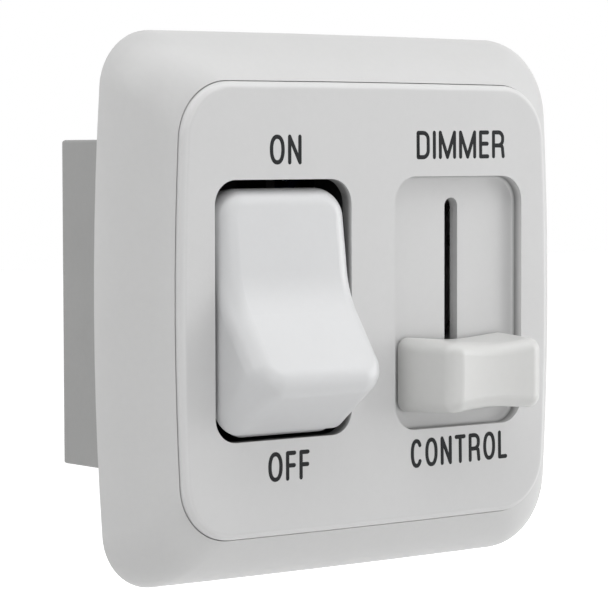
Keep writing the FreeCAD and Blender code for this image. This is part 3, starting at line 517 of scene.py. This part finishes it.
# legends printed on the panel, in plain strokes of one width
legendStyle = {
    "stroke": 0.51 * mm,
    "gap": 0.42 * mm,
    "inkRise": 0.012 * mm,
    "inkSink": 0.002 * mm,
    "arcSteps": 8,
    "ovalSteps": 48,
    "roundSteps": 3,
    "flatten": 0.88,  # below 1 the ovals' sides run straighter than an ellipse's
    "tipReach": (0.33, 0.66, 0.94),  # past a stroke's end, as shares of half the stroke
    "tipWidth": (0.94, 0.75, 0.35),  # and how wide the stroke is there
}

# first and last edge, foot and head of each word on the panel's front, in mm, and how much
# higher its right end is printed
legendPlaces = {
    "ON": {"left": -14.83, "right": -10.37, "foot": 15.92, "head": 19.23, "rise": 0.0},
    "OFF": {"left": -15.18, "right": -9.36, "foot": -18.95, "head": -15.63, "rise": 0.0},
    "DIMMER": {"left": 6.27, "right": 19.86, "foot": 16.46, "head": 19.74, "rise": 0.10},
    "CONTROL": {"left": 5.39, "right": 20.31, "foot": -18.80, "head": -15.45, "rise": 0.20},
}

# width in mm, then strokes: (x, z, corner radius in mm) with x and z as shares of the letter,
# or "oval" with the angles it starts and ends at
letterShapes = {
    "O": (2.05, [["oval", 0, 360]]),
    "C": (1.90, [["oval", 38, 322]]),
    "D": (2.00, [[(0, 0, 0.05), (1, 0, 0.78), (1, 1, 0.78), (0, 1, 0.05), "closed"]]),
    "N": (1.90, [[(0, 0, 0), (0, 1, 0)], [(0, 1, 0), (1, 0, 0)], [(1, 0, 0), (1, 1, 0)]]),
    "M": (2.65, [
        [(0, 0, 0), (0, 1, 0)],
        [(0, 1, 0), (0.5, 0, 0)],
        [(0.5, 0, 0), (1, 1, 0)],
        [(1, 0, 0), (1, 1, 0)],
    ]),
    "F": (1.48, [[(0, 0, 0), (0, 1, 0)], [(0, 1, 0), (1, 1, 0)], [(0, 0.51, 0), (0.95, 0.51, 0)]]),
    "E": (1.58, [
        [(0, 0, 0), (0, 1, 0)],
        [(0, 1, 0), (1, 1, 0)],
        [(0, 0.53, 0), (0.93, 0.53, 0)],
        [(0, 0, 0), (1, 0, 0)],
    ]),
    "I": (0.48, [[(0, 0, 0), (0, 1, 0)]]),
    "R": (2.00, [
        [(0, 0, 0), (0, 1, 0)],
        [(0, 1, 0), (0.95, 1, 0.66), (0.95, 0.45, 0.66), (0, 0.45, 0)],
        [(0.45, 0.45, 0), (0.90, 0.45, 0.5), (1, 0, 0)],
    ]),
    "T": (1.85, [[(0, 1, 0), (1, 1, 0)], [(0.5, 1, 0), (0.5, 0, 0)]]),
    "L": (1.58, [[(0, 1, 0), (0, 0, 0)], [(0, 0, 0), (1, 0, 0)]]),
}


def cornerArc(before, corner, after, radius):
    if radius == 0:
        return [corner]
    toBefore = (before - corner).normalized()
    toAfter = (after - corner).normalized()
    half = toBefore.angle(toAfter) / 2
    reach = radius / math.tan(half)
    reach = min(reach, (before - corner).length / 2, (after - corner).length / 2)
    radius = reach * math.tan(half)
    centre = corner + (toBefore + toAfter).normalized() * (radius / math.sin(half))
    start = corner + toBefore * reach - centre
    end = corner + toAfter * reach - centre
    steps = legendStyle["arcSteps"]
    return [centre + start.slerp(end, step / steps) * radius for step in range(steps + 1)]


def ovalPoints(startAngle, endAngle, width, height):
    steps = legendStyle["ovalSteps"]
    flatten = legendStyle["flatten"]
    points = []
    for step in range(steps + 1):
        angle = math.radians(startAngle + (endAngle - startAngle) * step / steps)
        across, up = math.cos(angle), math.sin(angle)
        x = width / 2 * (1 + math.copysign(abs(across) ** flatten, across))
        z = height / 2 * (1 + math.copysign(abs(up) ** flatten, up))
        points.append(Vector((x, 0, z)))
    return points


def strokePoints(stroke, width, height):
    if stroke[0] == "oval":
        points = ovalPoints(stroke[1], stroke[2], width, height)
        closed = stroke[2] - stroke[1] == 360
        return (points[:-1] if closed else points), closed
    closed = stroke[-1] == "closed"
    marks = stroke[:-1] if closed else stroke
    corners = [Vector((x * width, 0, z * height)) for x, z, radius in marks]
    points = []
    for index, (x, z, radius) in enumerate(marks):
        before = corners[index - 1]
        after = corners[(index + 1) % len(corners)]
        points += cornerArc(before, corners[index], after, radius * mm)
    return points, closed


def addStroke(curve, points, closed):
    if not closed:
        points = roundedEnd(points[1], points[0])[::-1] + points + roundedEnd(points[-2], points[-1])
    spline = curve.splines.new("POLY")
    spline.points.add(len(points) - 1)
    for target, point in zip(spline.points, points):
        target.co = (*point, 1)
    spline.use_cyclic_u = closed
    if not closed:
        last = len(points) - 1
        for step, share in enumerate(reversed(legendStyle["tipWidth"])):
            spline.points[step].radius = share
            spline.points[last - step].radius = share


# points past a stroke's end, where it narrows to a soft tip
def roundedEnd(inner, end):
    past = (end - inner).normalized() * (legendStyle["stroke"] / 2)
    return [end + past * share for share in legendStyle["tipReach"]]


def makeLegend(word, ink):
    place = legendPlaces[word]
    stroke = legendStyle["stroke"]
    height = (place["head"] - place["foot"]) * mm - stroke
    widths = [letterShapes[letter][0] * mm for letter in word]
    room = (place["right"] - place["left"]) * mm - legendStyle["gap"] * (len(word) - 1)
    fit = room / sum(widths)
    curve = bpy.data.curves.new(word.lower() + "Strokes", "CURVE")
    curve.dimensions = "3D"
    curve.bevel_depth = stroke / 2
    curve.bevel_resolution = legendStyle["roundSteps"]
    curve.use_fill_caps = True
    left = place["left"] * mm
    for letter, width in zip(word, widths):
        for marks in letterShapes[letter][1]:
            points, closed = strokePoints(marks, width * fit - stroke, height)
            start = Vector((left + stroke / 2, 0, place["foot"] * mm + stroke / 2))
            addStroke(curve, [start + point for point in points], closed)
        left += width * fit + legendStyle["gap"]
    legend = bpy.data.objects.new(word.lower() + "Legend", curve)
    bpy.context.scene.collection.objects.link(legend)
    clearSelection()
    legend.select_set(True)
    bpy.context.view_layer.objects.active = legend
    bpy.ops.object.convert(target="MESH")
    legend = bpy.context.active_object
    bpy.ops.object.mode_set(mode="EDIT")
    bpy.ops.mesh.select_all(action="SELECT")
    middle = (place["left"] + place["right"]) / 2 * mm, 0, (place["foot"] + place["head"]) / 2 * mm
    slant = math.atan(place["rise"] / (place["right"] - place["left"]))
    bpy.ops.transform.rotate(value=slant, orient_axis="Y", center_override=middle)
    bpy.ops.transform.resize(value=(1, legendStyle["inkRise"] / (stroke / 2), 1), center_override=middle)
    bpy.ops.transform.translate(value=(0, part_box("face_panel")[0][1] + legendStyle["inkSink"], 0))
    bpy.ops.object.mode_set(mode="OBJECT")
    bpy.ops.object.shade_smooth()
    legend.data.materials.append(ink)
    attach(legend, "base")


# tools for shaping the pieces that stand for plain solids; a face belongs to a turned body's side
# while its normal's share along the axis stays under sideLean
shapingSetup = {
    "weldGap": 0.001 * mm,
    "flatAngle": math.radians(1),
    "smoothAngle": math.radians(35),
    "sideLean": 0.5,
}


def editPiece(piece):
    clearSelection()
    piece.select_set(True)
    bpy.context.view_layer.objects.active = piece
    bpy.ops.object.mode_set(mode="EDIT")
    bpy.ops.mesh.select_all(action="SELECT")


def applyPlace(piece):
    clearSelection()
    piece.select_set(True)
    bpy.context.view_layer.objects.active = piece
    bpy.ops.object.transform_apply(location=True, rotation=True, scale=True)


# a body turned from (height, radius) steps, along z from its foot
def turnedBody(steps, sides):
    clearSelection()
    height, radius = steps[0]
    bpy.ops.mesh.primitive_circle_add(
        vertices=sides, radius=radius, fill_type="NGON", location=(0, 0, height)
    )
    body = bpy.context.active_object
    applyPlace(body)
    editPiece(body)
    for nextHeight, nextRadius in steps[1:]:
        rise = (0, 0, nextHeight - height)
        bpy.ops.mesh.extrude_region_move(TRANSFORM_OT_translate={"value": rise})
        grow = nextRadius / radius
        bpy.ops.transform.resize(value=(grow, grow, 1), center_override=(0, 0, nextHeight))
        height, radius = nextHeight, nextRadius
    bpy.ops.object.mode_set(mode="OBJECT")
    return body


def copyPiece(piece):
    twin = piece.copy()
    twin.data = piece.data.copy()
    bpy.context.scene.collection.objects.link(twin)
    return twin


def joinPieces(pieces):
    clearSelection()
    for piece in pieces:
        piece.select_set(True)
    bpy.context.view_layer.objects.active = pieces[0]
    bpy.ops.object.join()
    return bpy.context.active_object


def paintFaces(piece, slotIndex, isThere):
    for face in piece.data.polygons:
        if isThere(face):
            face.material_index = slotIndex


# faces round a turned body's side, between two heights
def paintBand(piece, slotIndex, low, high):
    def isBand(face):
        return low < face.center.z < high and abs(face.normal.z) < shapingSetup["sideLean"]

    paintFaces(piece, slotIndex, isBand)


def finishPiece(piece, name, body, materials):
    applyPlace(piece)
    editPiece(piece)
    bpy.ops.mesh.remove_doubles(threshold=shapingSetup["weldGap"])
    bpy.ops.mesh.normals_make_consistent(inside=False)
    bpy.ops.object.mode_set(mode="OBJECT")
    bpy.ops.object.shade_smooth_by_angle(angle=shapingSetup["smoothAngle"])
    piece.name = name
    for material in materials:
        piece.data.materials.append(material)
    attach(piece, body)


# rear housing: the same box with its outside edges eased
housingSetup = {"edge": 0.40 * mm, "steps": 3, "near": 0.02 * mm}


def makeHousing():
    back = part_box("rear_housing")[1][1]
    near = housingSetup["near"]
    housing = copyPiece(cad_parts["rear_housing"])
    editPiece(housing)
    bpy.ops.mesh.remove_doubles(threshold=shapingSetup["weldGap"])
    bpy.ops.mesh.dissolve_limited(angle_limit=shapingSetup["flatAngle"])
    bpy.ops.mesh.select_all(action="DESELECT")
    bpy.ops.object.mode_set(mode="OBJECT")
    mesh = housing.data
    backPoints = [vertex.co for vertex in mesh.vertices if back - vertex.co.y < near]
    halfWidth = max(point.x for point in backPoints)
    halfHeight = max(point.z for point in backPoints)

    def outerWalls(point):
        gaps = (halfWidth - abs(point.x), halfHeight - abs(point.z), back - point.y)
        return {wall for wall, gap in enumerate(gaps) if abs(gap) < near}

    for edge in mesh.edges:
        first, second = (mesh.vertices[index].co for index in edge.vertices)
        edge.select = len(outerWalls(first) & outerWalls(second)) == 2
    bpy.ops.object.mode_set(mode="EDIT")
    bpy.ops.mesh.select_mode(type="EDGE")
    bpy.ops.mesh.bevel(offset=housingSetup["edge"], segments=housingSetup["steps"], affect="EDGES")
    bpy.ops.object.mode_set(mode="OBJECT")
    finishPiece(housing, "easedHousing", "base", [])
    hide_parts("rear_housing")


# carbon resistors: swollen ends and four painted bands, all in mm; the shape of one end is
# (along, radius) from the tip, round the swelling and down to the waist
resistorSetup = {
    "places": ((14.4, 11.4), (7.6, -13.2), (-0.4, -13.2)),
    "tip": ((0, 0.45), (0.10, 0.85), (0.32, 1.10)),
    "swelling": {"from": 0.65, "to": 1.25, "radius": 1.15},
    "shoulder": (1.60, 0.98),
    "waist": {"from": 1.95, "radius": 0.93},
    "bands": ((0.75, 1.15), (1.95, 2.30), (2.70, 3.05), (4.30, 4.65)),
    "length": 6.0,
    "sides": 40,
}


def makeResistors(finishes):
    length = resistorSetup["length"]
    swelling, waist = resistorSetup["swelling"], resistorSetup["waist"]
    half = list(resistorSetup["tip"])
    half += [(swelling["from"], swelling["radius"]), (swelling["to"], swelling["radius"])]
    half += [resistorSetup["shoulder"], (waist["from"], waist["radius"])]
    cuts = [mark for band in resistorSetup["bands"] for mark in band]
    middle = [(mark, waist["radius"]) for mark in cuts if waist["from"] < mark < length - waist["from"]]
    rings = [(mark, swelling["radius"]) for mark in cuts if swelling["from"] < mark < swelling["to"]]
    steps = sorted(set(half + rings + middle + [(length - at, radius) for at, radius in half]))
    first = turnedBody([(at * mm, radius * mm) for at, radius in steps], resistorSetup["sides"])
    bands = [finishes[name] for name in ("bandBrown", "bandBlack", "bandOrange", "bandGold")]
    for finish in [finishes["resistorCoat"]] + bands:
        first.data.materials.append(finish)
    for row, (start, end) in enumerate(resistorSetup["bands"], 1):
        paintBand(first, row, start * mm, end * mm)
    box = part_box("resistors")
    across = (box[0][1] + box[1][1]) / 2
    bodies = [first] + [copyPiece(first) for place in resistorSetup["places"][1:]]
    for body, (x, z) in zip(bodies, resistorSetup["places"]):
        body.rotation_euler = (0, math.radians(90), 0)
        body.location = ((x - length / 2) * mm, across, z * mm)
        applyPlace(body)
    whole = joinPieces(bodies)
    finishPiece(whole, "bandedResistors", "base", [])
    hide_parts("resistors")


# electrolytic can in mm: a sleeve with a crimp and a stripe, and a bare top that sinks a little;
# foot and top are (from the end, in from the side)
canSetup = {
    "foot": ((0, 0.35), (0.12, 0.12), (0.35, 0)),
    "crimpFrom": 0.7,
    "crimpTo": 1.7,
    "crimpDepth": 0.28,
    "crimpFlat": 0.4,
    "top": ((0.35, 0), (0.12, 0.08), (0, 0.30), (0, 0.75), (0.10, 0.85)),
    "bareFrom": 0.74,
    "bareDepth": 0.2,
    "stripeHalfAngle": math.radians(32),
    "stripeLean": 0.7,
    "sides": 64,
}


def makeCan(finishes):
    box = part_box("capacitor_can")
    radius = (box[1][0] - box[0][0]) / 2 / mm
    height = (box[1][1] - box[0][1]) / mm
    crimp = radius - canSetup["crimpDepth"]
    middle = (canSetup["crimpFrom"] + canSetup["crimpTo"]) / 2
    halfFlat = canSetup["crimpFlat"] / 2
    steps = [(at, radius - less) for at, less in canSetup["foot"]]
    steps += [(canSetup["crimpFrom"], radius), (middle - halfFlat, crimp)]
    steps += [(middle + halfFlat, crimp), (canSetup["crimpTo"], radius)]
    steps += [(height - at, radius - less) for at, less in canSetup["top"]]
    can = turnedBody([(at * mm, ring * mm) for at, ring in steps], canSetup["sides"])
    topFoot = (height - canSetup["bareDepth"]) * mm
    topEdge = (radius - canSetup["bareFrom"]) * mm

    def onStripe(face):
        angle = abs(math.atan2(face.center.x, -face.center.y))
        return abs(face.normal.z) < canSetup["stripeLean"] and angle < canSetup["stripeHalfAngle"]

    def onTop(face):
        across = math.hypot(face.center.x, face.center.y)
        return face.center.z > topFoot and across < topEdge

    paintFaces(can, 1, onStripe)
    paintFaces(can, 2, onTop)
    can.rotation_euler = (math.radians(90), 0, 0)  # its foot on the board, its top to the front
    can.location = ((box[0][0] + box[1][0]) / 2, box[1][1], (box[0][2] + box[1][2]) / 2)
    sleeve = [finishes["canSleeve"], finishes["sleeveStripe"], finishes["sinkAluminium"]]
    finishPiece(can, "sleevedCan", "base", sleeve)
    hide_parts("capacitor_can")


# diode with a silver cathode ring and rounded shoulders, in mm
diodeSetup = {"shoulder": 0.30, "shoulderMiddle": 0.09, "ringFrom": 3.7, "ringTo": 4.3, "sides": 40}


def makeDiode(finishes):
    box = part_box("diode")
    radius = (box[1][0] - box[0][0]) / 2 / mm
    length = (box[1][2] - box[0][2]) / mm
    shoulder, middle = diodeSetup["shoulder"], diodeSetup["shoulderMiddle"]
    foot = [(0, radius - shoulder), (middle, radius - middle), (shoulder, radius)]
    ring = [(diodeSetup["ringFrom"], radius), (diodeSetup["ringTo"], radius)]
    steps = foot + ring + [(length - at, across) for at, across in reversed(foot)]
    body = turnedBody([(at * mm, across * mm) for at, across in steps], diodeSetup["sides"])
    paintBand(body, 1, diodeSetup["ringFrom"] * mm, diodeSetup["ringTo"] * mm)
    body.location = ((box[0][0] + box[1][0]) / 2, (box[0][1] + box[1][1]) / 2, box[0][2])
    finishPiece(body, "ringedDiode", "base", [finishes["chipEpoxy"], finishes["tinnedWire"]])
    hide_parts("diode")


# timer chip: bevelled edges, a half-round notch and a dimple by its first pin
chipSetup = {
    "edge": 0.35 * mm,
    "edgeSteps": 2,
    "cutterSides": 48,
    "notchRadius": 0.75 * mm,
    "notchDepth": 0.35 * mm,
    "dimpleRadius": 0.45 * mm,
    "dimpleDepth": 0.12 * mm,
    "dimpleInset": (1.2 * mm, 1.5 * mm),
}


def cutAway(piece, radius, depth, place):
    clearSelection()
    sides = chipSetup["cutterSides"]
    bpy.ops.mesh.primitive_cylinder_add(
        vertices=sides, radius=radius, depth=depth * 2, location=place, rotation=(math.radians(90), 0, 0)
    )
    cutter = bpy.context.active_object
    applyPlace(cutter)
    clearSelection()
    piece.select_set(True)
    bpy.context.view_layer.objects.active = piece
    cut = piece.modifiers.new("cut", "BOOLEAN")
    cut.object = cutter
    cut.solver = "EXACT"
    bpy.ops.object.modifier_apply(modifier="cut")
    bpy.data.objects.remove(cutter)


def makeChip(finishes):
    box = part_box("timer_chip")
    size = [high - low for low, high in zip(*box)]
    middle = [(low + high) / 2 for low, high in zip(*box)]
    clearSelection()
    bpy.ops.mesh.primitive_cube_add(size=1, location=middle)
    chip = bpy.context.active_object
    chip.scale = size
    applyPlace(chip)
    editPiece(chip)
    bpy.ops.mesh.bevel(offset=chipSetup["edge"], segments=chipSetup["edgeSteps"], affect="EDGES")
    bpy.ops.object.mode_set(mode="OBJECT")
    front = box[0][1]
    notch = (middle[0], front, box[1][2])
    cutAway(chip, chipSetup["notchRadius"], chipSetup["notchDepth"], notch)
    insetX, insetZ = chipSetup["dimpleInset"]
    dimple = (box[0][0] + insetX, front, box[1][2] - insetZ)
    cutAway(chip, chipSetup["dimpleRadius"], chipSetup["dimpleDepth"], dimple)
    finishPiece(chip, "notchedChip", "base", [finishes["chipEpoxy"]])
    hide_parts("timer_chip")


# coil spring in the rocker, wound round the plunger's line; wire is half the wire's width, and
# keep the share of its length that is left when the plunger is pushed in
springSetup = {
    "turns": 7,
    "wire": 0.22 * mm,
    "wireSides": 12,
    "stepsPerTurn": 28,
    "lean": math.radians(21),
    "keep": 0.667,
}


def makeSpring(finishes):
    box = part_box("plunger_spring")
    lean = springSetup["lean"]
    line = Vector((0, math.cos(lean), -math.sin(lean)))
    middle = (Vector(box[0]) + Vector(box[1])) / 2
    width = box[1][0] - box[0][0]
    tall = box[1][1] - box[0][1]
    length = (tall - width * math.sin(lean)) / math.cos(lean)
    wire = springSetup["wire"]
    radius = width / 2 - wire
    wound = length - 2 * wire
    clearSelection()
    bpy.ops.mesh.primitive_circle_add(
        vertices=springSetup["wireSides"],
        radius=wire,
        location=(radius, 0, 0),
        rotation=(math.radians(90), 0, 0),
    )
    coil = bpy.context.active_object
    applyPlace(coil)
    winding = coil.modifiers.new("winding", "SCREW")
    winding.axis = "Z"
    winding.screw_offset = wound / springSetup["turns"]
    winding.angle = math.radians(360)
    winding.steps = springSetup["stepsPerTurn"]
    winding.render_steps = springSetup["stepsPerTurn"]
    winding.iterations = springSetup["turns"]
    bpy.ops.object.modifier_apply(modifier="winding")
    editPiece(coil)
    bpy.ops.mesh.select_non_manifold()
    bpy.ops.mesh.edge_face_add()
    bpy.ops.mesh.select_all(action="SELECT")
    bpy.ops.transform.translate(value=(0, 0, -wound / 2))
    bpy.ops.object.mode_set(mode="OBJECT")
    coil.rotation_euler = line.to_track_quat("Z", "Y").to_euler()
    coil.location = middle
    finishPiece(coil, "coilSpring", "rocker", [finishes["springWire"]])
    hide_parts("plunger_spring")
    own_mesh(coil)


addCamera()
addLights()
addRoom()
print("camera, lights and room set")
finishes = makeFinishes()
dressNodes(finishes)
print("finishes made,", len(finishes))
for word in legendPlaces:
    makeLegend(word, finishes["legendInk"])
print("legends printed")
makeHousing()
makeResistors(finishes)
makeCan(finishes)
makeDiode(finishes)
makeChip(finishes)
makeSpring(finishes)
print("inner pieces shaped")

bpy.context.scene.view_settings.view_transform = "Standard"
